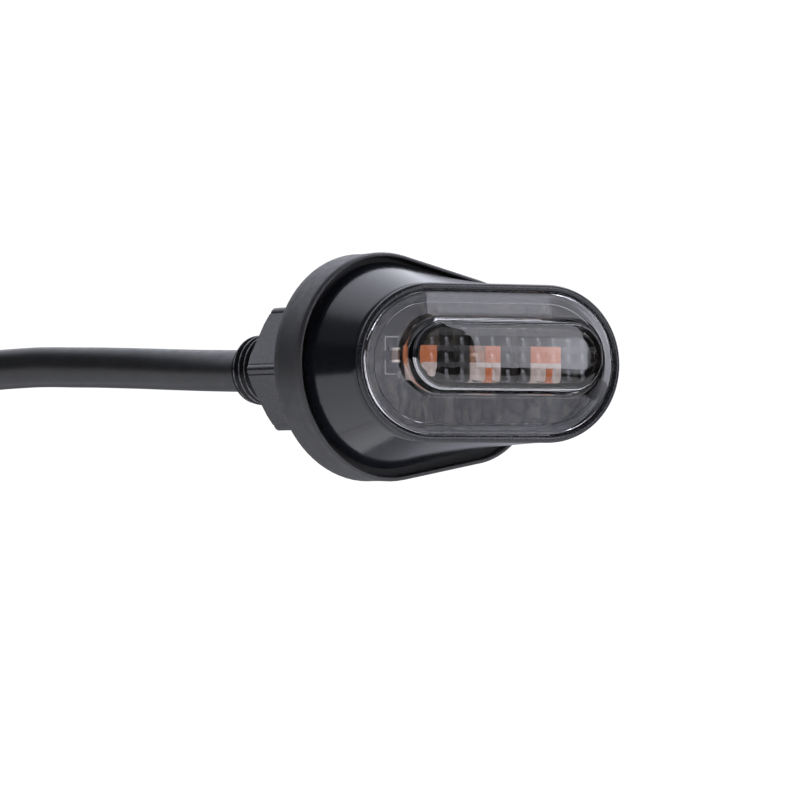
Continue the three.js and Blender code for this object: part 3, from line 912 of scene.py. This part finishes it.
def add_housing():
    """The die-cast housing: straight walls from the egg-shaped base to the lens's round bead."""
    shape = Rings()
    add = shape.add
    rim = stadium(RIM_RADIUS, LENS_HALF)
    bead = (RIM_RADIUS - SEAT_RADIUS) / 2
    add(hole_ring(STEM_HOLE, BASE_FACE))
    add(ring(PAD_PLANE, PAD, BASE_INSET + 0.5, BASE_FACE))
    for c, s in quarter(90, 0, 4):
        add(ring(PAD_PLANE, PAD, BASE_INSET + BASE_ROUND * (1 - c), BASE_FACE + BASE_ROUND * (1 - s)))
    foot = ring(PAD_PLANE, PAD, BASE_INSET, BASE_FACE + 0.75)
    lip = ring(PAD_PLANE, PAD, BASE_INSET + 0.08, BASE_FACE + 0.98)
    neck = ring(LENS_PLANE, rim, 0.1, -1.05)
    # The base's edge and the lip just above it are painted paler: a painted highlight.
    add(foot, 0.5)
    add(lip, 0.3)
    for i in range(1, 15):
        add(blend(lip, neck, i / 15))
    add(neck)
    # The groove, the bead and the seat's edge are painted paler: a painted highlight.
    groove = ((0.26, -0.92, 0), (0.24, -0.82, 0.1), (0.06, -0.62, 0.5), (0.01, -0.45, 0.7))
    for inset, w, worn_and_lit in groove:
        add(ring(LENS_PLANE, rim, inset, w), worn_and_lit)
    for c, s in quarter(0, 150, 8):
        add(ring(LENS_PLANE, rim, bead * (1 - c), RIM_CREST - bead + bead * s), 1.0)
    add(ring(LENS_PLANE, rim, RIM_RADIUS - SEAT_RADIUS, -0.1), 0.2)
    for radius, w in (
        (SEAT_RADIUS, -LEDGE_DEPTH), (LEDGE_RADIUS, -LEDGE_DEPTH),
        (LEDGE_RADIUS, -SHELF_DEPTH), (SHELF_RADIUS, -SHELF_DEPTH),
    ):
        add(ring(LENS_PLANE, stadium(radius, LENS_HALF), 0, w))
    add(ring(PAD_PLANE, PAD, BASE_INSET + SIDE_WALL, BASE_FACE + BASE_WALL))
    add(hole_ring(STEM_HOLE, BASE_FACE + BASE_WALL))
    finish_piece(
        "housing_shell", shape.skin(), "lamp", [housing_paint()], "housing"
    )


# ---- Lens ----


def lens_rings():
    """The lens's rings: out from its pocket, round the flange, then up to the window's top."""
    flange = stadium(FLANGE_RADIUS, LENS_HALF)
    pill = stadium(WINDOW_RADIUS, WINDOW_HALF)

    def flange_ring(inset, w):
        return ring(LENS_PLANE, flange, inset, w, FLANGE_SHIFT)

    def pill_ring(inset, w):
        return ring(LENS_PLANE, pill, inset, w, WINDOW_SHIFT)

    ceiling = WINDOW_TOP - LENS_WALL
    rings = [pill_ring(LENS_WALL + 0.1, ceiling), pill_ring(LENS_WALL + 0.02, ceiling - 0.08)]
    rings += [pill_ring(LENS_WALL, 0), pill_ring(LENS_WALL - 0.3, FLANGE_UNDER)]
    rings += [flange_ring(1.43, FLANGE_UNDER), flange_ring(1.38, FLANGE_UNDER + 0.06)]
    rings += [flange_ring(1.33, FLANGE_UNDER), flange_ring(0.12, FLANGE_UNDER)]
    rings += [flange_ring(0, FLANGE_UNDER + 0.12), flange_ring(0, -0.4)]
    rings += [
        flange_ring(FLANGE_BREAK * (1 - c), FLANGE_EDGE - FLANGE_BREAK * (1 - s))
        for c, s in quarter(0, 80, 4)
    ]
    edge = flange_ring(0.3, FLANGE_EDGE + 0.01)
    foot = pill_ring(-WINDOW_FOOT, FLANGE_EDGE)
    lifts = [FLANGE_SLOPE * (q - p).length for p, q in zip(edge, foot)]

    def lifted(points, share=1.0):
        return [p + LENS_PLANE.w * (lift * share) for p, lift in zip(points, lifts)]

    rings += [lifted(blend(edge, foot, i / 12), i / 12) for i in range(13)]
    rings += [
        lifted(pill_ring(-WINDOW_FOOT * (1 - s), FLANGE_EDGE + WINDOW_FOOT * (1 - c)))
        for c, s in quarter(20, 70, 4)
    ]
    half = WINDOW_HALF + WINDOW_RADIUS
    start, last = WINDOW_SIDE[-1]
    reach = WINDOW_RADIUS - 0.02 - start
    top = [(start + reach * i / 8, 1 - (1 - last) * (1 - i / 8) ** 2) for i in range(1, 9)]
    for inset, share in catmull(WINDOW_SIDE, 3) + top:
        points = lifted(pill_ring(inset, FLANGE_EDGE + (WINDOW_TOP - FLANGE_EDGE) * share), 1 - share)
        for point in points:
            along = (point - LENS_PLANE.origin).dot(LENS_PLANE.u) - WINDOW_SHIFT[0]
            point -= LENS_PLANE.w * WINDOW_CROWN * share * (along / half) ** 4
        rings.append(points)
    return rings


FACET_SHIFT = (-1.35, 0.0)
FACET_STEPS = 6
FACET_SAG = 0.1
FACET_REACH = (15, 7)  # how far from the middle the cuts go, along u and v


def facet(bm):
    """Cuts the ceiling of the lens's pocket into square pillows, and marks the lines between them."""
    caps = [f for f in bm.faces if len(f.verts) > 4]
    face = min(caps, key=lambda f: LENS_PLANE.w.dot(f.calc_center_median()))
    marks = bm.verts.layers.int.new("ceiling")
    for vert in face.verts:
        vert[marks] = 1
    offset_u, offset_v = FACET_SHIFT
    geometry = [face, *face.edges, *face.verts]
    for axis, offset, reach in zip((LENS_PLANE.u, LENS_PLANE.v), FACET_SHIFT, FACET_REACH):
        count = int(reach / CELL * FACET_STEPS)
        for i in range(-count, count + 1):
            place = (LENS_PLANE.origin + axis * (offset + i * CELL / FACET_STEPS)) * MM
            made = bmesh.ops.bisect_plane(bm, geom=geometry, plane_co=place, plane_no=axis)
            for part in made["geom_cut"]:
                if isinstance(part, bmesh.types.BMVert):
                    part[marks] = 1
            geometry = made["geom"]
            known = set(geometry)
            geometry += [p for p in made["geom_cut"] if p not in known]

    def local(vert):
        away = vert.co / MM - LENS_PLANE.origin
        return away.dot(LENS_PLANE.u) - offset_u, away.dot(LENS_PLANE.v) - offset_v

    for vert in bm.verts:
        if vert[marks]:
            across = [2 * ((c / CELL) % 1) - 1 for c in local(vert)]
            vert.co -= LENS_PLANE.w * (FACET_SAG * sum(1 - a * a for a in across)) * MM
    for edge in bm.edges:
        if all(v[marks] for v in edge.verts):
            places = [local(v) for v in edge.verts]
            for i in (0, 1):
                on_line = [abs(p[i] / CELL - round(p[i] / CELL)) < 1e-3 for p in places]
                if all(on_line) and abs(places[0][i] - places[1][i]) < CELL / 4:
                    edge.smooth = False
    return bm


def add_lens():
    """The smoked cover, hollow under its window."""
    bm = skin(lens_rings())
    facet(bm)
    finish_piece("smoked_cover", bm, "lamp", [smoked_lens()], "lens")


# ---- Board ----


def add_board():
    """The board, with its tinned pads, tracks and component outline."""
    outline = stadium(BOARD_RADIUS, LENS_HALF)
    bm = skin([
        ring(LENS_PLANE, outline, 0.08, BOARD_BACK),
        ring(LENS_PLANE, outline, 0, BOARD_BACK + 0.08),
        ring(LENS_PLANE, outline, 0, BOARD_FRONT - 0.08),
        ring(LENS_PLANE, outline, 0.08, BOARD_FRONT),
    ])
    tin, ink = 1, 2
    half = LED_SIDE / 2
    for place in (-1, 0, 1):
        for v in (-1.5, 1.5):
            for side in (-1, 1):
                centre = (place * LED_PITCH + side * (half + 0.05), v, BOARD_FRONT)
                add_block(bm, (0.5, 0.9, 0.12), centre, 0.04, tin)
    for i in range(9):
        u = -LED_PITCH + i * CELL + 0.3
        add_block(bm, (0.55, 0.3, 0.1), (u, 4.4, BOARD_FRONT), 0.03, tin)
        add_block(bm, (0.16, 2.1, 0.03), (u, 3.2, BOARD_FRONT), 0, 0)
    width = 0.16
    left, right, low, high = -12.9, -11.05, -1.4, 3.4
    marks = [
        (right - left, width, (left + right) / 2, low),
        (right - left, width, (left + right) / 2, high),
        (width, 1.8, left, low + 0.9), (width, 1.8, left, high - 0.9),
    ]
    for su, sv, u, v in marks:
        add_block(bm, (su, sv, 0.03), (u, v, BOARD_FRONT), 0, ink)
    materials = [
        board_mask(),
        bare_metal("tinned_pads", (0.5, 0.46, 0.42), (0.7, 0.66, 0.6), (0.3, 0.5)),
        soft_plastic("screen_ink", (0.5, 0.49, 0.46), (0.62, 0.6, 0.57), (0.5, 0.6)),
    ]
    finish_piece("led_board", bm, "lamp", materials, "circuit_board")


def add_leds():
    """Three LED packages, each a tray of resin: amber windows above, pale ones below, and the
    lower right one has an amber corner."""
    materials = [
        soft_plastic("led_tray", (0.30, 0.28, 0.26), (0.38, 0.36, 0.33), (0.35, 0.5)),
        resin("amber_resin", (0.90, 0.20, 0.04), (0.98, 0.33, 0.10)),
        resin("dull_amber_resin", (0.24, 0.15, 0.09), (0.75, 0.34, 0.16), 0.3),
        resin("pale_resin", (0.80, 0.60, 0.48), (0.98, 0.80, 0.67)),
    ]
    amber, dull, pale = 1, 2, 3
    side = LED_SIDE / 2 - 0.03
    patch = 0.7 * side
    base = BOARD_FRONT + GAP
    for i, place in enumerate((-1, 0, 1)):
        bm = new_mesh()
        u = place * LED_PITCH
        add_block(bm, (LED_SIDE, LED_SIDE, LED_HEIGHT - 0.15), (u, 0, base), 0.08)
        upper = (amber, amber) if i != 1 else (dull, amber)
        top = base + LED_HEIGHT - RESIN_DEPTH
        windows = [  # across, up, the middle's place and the resin
            (side, side, -side / 2, side / 2, upper[0]),
            (side, side, side / 2, side / 2, upper[1]),
            (side, side, -side / 2, -side / 2, pale),
            (side - patch, side, (side + patch) / 2, -side / 2, pale),
            (patch, side - patch, patch / 2, (patch - side) / 2, pale),
            (patch, patch, patch / 2, patch / 2 - side, amber),
        ]
        for across, up, du, v, index in windows:
            add_block(bm, (across, up, RESIN_DEPTH), (u + du, v, top), 0.01, index)
        finish_piece(f"led_package_{i + 1}", bm, "lamp", materials, f"led_{i + 1}")


def add_capacitor():
    """The chip capacitor at the board's end, with a tinned cap at each end."""
    bm = new_mesh()
    u, v = -11.85, 1
    base = BOARD_FRONT + GAP
    add_block(bm, (1.2, 1.5, 0.86), (u, v, base), 0.05)
    for side in (-1, 1):
        add_block(bm, (1.25, 0.42, 0.9), (u, v + side * 0.79, base), 0.1, 1)
    brown = soft_plastic("brown_ceramic", (0.20, 0.095, 0.045), (0.28, 0.14, 0.07), (0.4, 0.55))
    tin = bare_metal("chip_ends", (0.6, 0.5, 0.4), (0.8, 0.7, 0.58), (0.25, 0.45))
    finish_piece("chip_capacitor", bm, "lamp", [brown, tin], "filter_capacitor")
    give("input_capacitor", brown)
    moulding = soft_plastic("chip_moulding", (0.018, 0.018, 0.019), (0.028, 0.028, 0.03), (0.45, 0.6))
    for node in ("driver_chip", "protection_diode", "current_resistor_1", "current_resistor_2"):
        give(node, moulding)


# ---- Stem, nut and washer ----

# One pitch of the thread: a place along it, and how far the surface stands out, from 0 to 1.
THREAD_PROFILE = [
    (-0.13, 0.88), (-0.08, 1.0), (0.08, 1.0), (0.13, 0.88),
    (0.36, 0.06), (0.4, 0.0), (0.6, 0.0), (0.64, 0.06),
]


def thread_surface(crest, root, start, end, clearance=0.0):
    """The helical surface of a right-handed thread along Y, cut square at both ends."""
    bm = new_mesh()
    layer = bm.verts.layers.float["wear_and_highlight"]
    first, last = math.floor(start / THREAD_PITCH) - 2, math.ceil(end / THREAD_PITCH) + 1
    rows = [
        ((turn + at) * THREAD_PITCH, root + (crest - root) * out + clearance, out)
        for turn in range(first, last) for at, out in THREAD_PROFILE
    ]
    grid = []
    for y, radius, out in rows:
        line = []
        for i in range(TURN_STEPS):
            angle = 2 * math.pi * i / TURN_STEPS
            rise = THREAD_PITCH * i / TURN_STEPS
            place = Vector((radius * math.sin(angle), y + rise, radius * math.cos(angle)))
            vert = bm.verts.new(place * MM)
            # Crests are painted paler: a painted highlight along the thread.
            vert[layer] = 0.6 if out > 0.95 else 0.0
            line.append(vert)
        grid.append(line)
    period = len(THREAD_PROFILE)
    for j in range(len(rows) - 1 - period):
        for i in range(TURN_STEPS):
            # Past the last step, the surface goes on from a whole turn further along.
            skip, k = (0, i + 1) if i + 1 < TURN_STEPS else (period, 0)
            bm.faces.new((grid[j][i], grid[j + skip][k], grid[j + 1 + skip][k], grid[j + 1][i]))
    for y, out in ((start, -1), (end, 1)):
        bmesh.ops.bisect_plane(
            bm, geom=[*bm.verts, *bm.edges, *bm.faces], plane_co=(0, y * MM, 0), plane_no=(0, out, 0),
            clear_outer=True,
        )
    return bm


def cone_limit(bm, limit, pick=min):
    """Gives each vertex the smaller (or larger) of its radius and limit(y), in millimetres."""
    for vert in bm.verts:
        radius = math.hypot(vert.co.x, vert.co.z) / MM
        scale = pick(radius, limit(vert.co.y / MM)) / radius
        vert.co.x *= scale
        vert.co.z *= scale


def fill_ring(bm, y, split):
    """Fills the flat ring at y between its two open loops, which lie either side of a radius."""
    loops = ([], [])
    for vert in bm.verts:
        if vert.is_boundary and abs(vert.co.y - y * MM) < 1e-7:
            inside = math.hypot(vert.co.x, vert.co.z) < split * MM
            loops[inside].append((math.atan2(vert.co.z, vert.co.x), vert))
    outer, inner = [sorted(loop, key=lambda item: item[0]) for loop in loops]
    i = j = 0

    def after(loop, k):
        angle, vert = loop[(k + 1) % len(loop)]
        return angle + (2 * math.pi if k + 1 >= len(loop) else 0), vert

    while i < len(outer) or j < len(inner):
        here = outer[i % len(outer)][1], inner[j % len(inner)][1]
        next_outer, next_inner = after(outer, i), after(inner, j)
        if j >= len(inner) or (i < len(outer) and next_outer[0] <= next_inner[0]):
            bm.faces.new((here[0], next_outer[1], here[1]))
            i += 1
        else:
            bm.faces.new((here[0], next_inner[1], here[1]))
            j += 1


def join(bm, other):
    """Adds another bmesh to this one."""
    mesh = bpy.data.meshes.new("joined")
    other.to_mesh(mesh)
    other.free()
    bm.from_mesh(mesh)
    bpy.data.meshes.remove(mesh)


def open_tube(profile):
    """A strip turned about Y, left open at both ends, from (radius, y, wear and painted highlight)
    rows.
    """
    bm = new_mesh()
    strip(bm, [[(place, worn_and_lit) for place in circle(radius, y)] for radius, y, worn_and_lit in profile])
    return bm


def add_stem():
    """The hollow threaded stem, with its head inside the housing."""
    head_back, end = span("threaded_stem", Y)
    head_radius = span("threaded_stem", X)[1]
    head_face = head_back + 1.5
    bm = thread_surface(THREAD_RADIUS, THREAD_ROOT, head_face, end)
    chamfer = 0.95
    cone_limit(bm, lambda y: THREAD_RADIUS - max(0, y - (end - chamfer)) * 0.95)
    join(bm, open_tube([
        (head_radius, head_face, 0), (head_radius, head_back + 0.15, 0),
        (head_radius - 0.15, head_back, 0), (STEM_BORE + 0.2, head_back, 0),
        (STEM_BORE, head_back + 0.2, 0), (STEM_BORE, end - 0.4, 0),
        (STEM_BORE + 0.12, end - 0.1, 0.6), (STEM_BORE + 0.3, end, 1),
    ]))
    fill_ring(bm, head_face, THREAD_RADIUS + 0.2)
    fill_ring(bm, end, STEM_BORE + 0.5)
    steel = black_steel("black_oxide", (0.005, 0.005, 0.006), (0.2, 0.3), 0.25)
    finish_piece("stem_thread", bm, "lamp", [steel], "threaded_stem", math.radians(28))


def hexagon(steps):
    """Distances to a hexagon with rounded corners, at even angles. A corner is at angle 0 from X."""
    flat = NUT_FLATS / 2
    soft = flat - NUT_CORNER_ROUND
    distances = []
    for i in range(steps):
        angle = 2 * math.pi * i / steps
        around = (angle + math.pi / 6) % (math.pi / 3) - math.pi / 6  # from the nearest corner
        side = math.pi / 6 - abs(around)  # from the nearest flat's middle
        straight = flat / math.cos(side)
        middle = soft / math.cos(math.pi / 6)
        inside = NUT_CORNER_ROUND ** 2 - (middle * math.sin(around)) ** 2
        rounded = middle * math.cos(around) + math.sqrt(inside) if inside > 0 else straight
        distances.append((angle, min(straight, rounded)))
    return distances


def add_nut():
    """The hexagon nut: bevelled on both faces, with a thread that fits the stem's. Returns its
    material, which the washer shares."""
    near, far = span("hex_nut", Y)
    outline = hexagon(360)
    slope = math.tan(math.radians(30))
    corner = NUT_FLATS / 2 / math.cos(math.pi / 6)
    drop = (corner - NUT_FACE) * slope + 0.1
    offsets = [drop * i / 10 for i in range(11)]
    heights = [near + o for o in offsets] + [far - o for o in reversed(offsets)]
    bm = new_mesh()
    rows = []
    for y in heights:
        most = NUT_FACE + min(y - near, far - y) / slope
        rows.append([])
        for angle, distance in outline:
            radius, turn = min(distance, most), angle + NUT_TURN
            rows[-1].append((Vector((radius * math.cos(turn), y, radius * math.sin(turn))), 0))
    strip(bm, rows)
    bore = thread_surface(THREAD_RADIUS, THREAD_ROOT, near, far, clearance=0.1)
    mouth = THREAD_RADIUS + NUT_MOUTH
    cone_limit(bore, lambda y: mouth - min(y - near, far - y), max)
    join(bm, bore)
    fill_ring(bm, near, mouth + 1)
    fill_ring(bm, far, mouth + 1)
    zinc = black_steel("black_zinc", (0.016, 0.016, 0.019), (0.24, 0.34), 0.5)
    finish_piece("nut", bm, "nut", [zinc], "hex_nut", math.radians(29))
    return zinc


def add_washer(material):
    """The split spring washer: a rounded section swept round to a slanted slit."""
    near, far = span("lock_washer", Y)
    outer = span("lock_washer", X)[1]
    inner = THREAD_RADIUS + GAP
    middle, half = (near + far) / 2, (far - near) / 2
    soft = 0.25
    section = []
    for r, y, start in ((outer, far, 0), (inner, far, 90), (inner, near, 180), (outer, near, 270)):
        for c, s in quarter(start, start + 90, 3):
            out = soft if start in (0, 270) else -soft
            up = soft if start in (0, 90) else -soft
            section.append((r - out + soft * c, y - up + soft * s))
    slit, lean = 0.16, math.radians(20)
    steps = 96
    rings = []
    for i in range(steps + 1):
        share = i / steps
        points = []
        for r, y in section:
            skew = (y - middle) * math.tan(lean) / outer
            angle = skew + slit / 2 + share * (2 * math.pi - slit)
            points.append(Vector((r * math.sin(angle), y, r * math.cos(angle))))
        rings.append(points)
    bm = skin(rings)
    finish_piece("spring_washer", bm, "washer", [material], "lock_washer")


# ---- The scene ----

bpy.context.scene.view_settings.view_transform = "Standard"
add_camera()
add_world()
add_softbox("front_panel", 10.8, 21.7, 1.2, (0.34, 1.0), 3.1)
add_softbox("top_softbox", 90, 62, 0.9, (0.55, 0.45), 2.4)
add_floor()
add_lead()
add_pad()
add_housing()
add_lens()
add_board()
add_leds()
add_capacitor()
add_stem()
add_washer(add_nut())
give("lens_seal", rubber("seal_rubber", (0.012, 0.012, 0.013), (0.02, 0.02, 0.021), (0.5, 0.6)))
grommet = rubber("grommet_rubber", (0.014, 0.014, 0.015), (0.024, 0.024, 0.026), (0.5, 0.65))
give("wire_grommet", grommet)
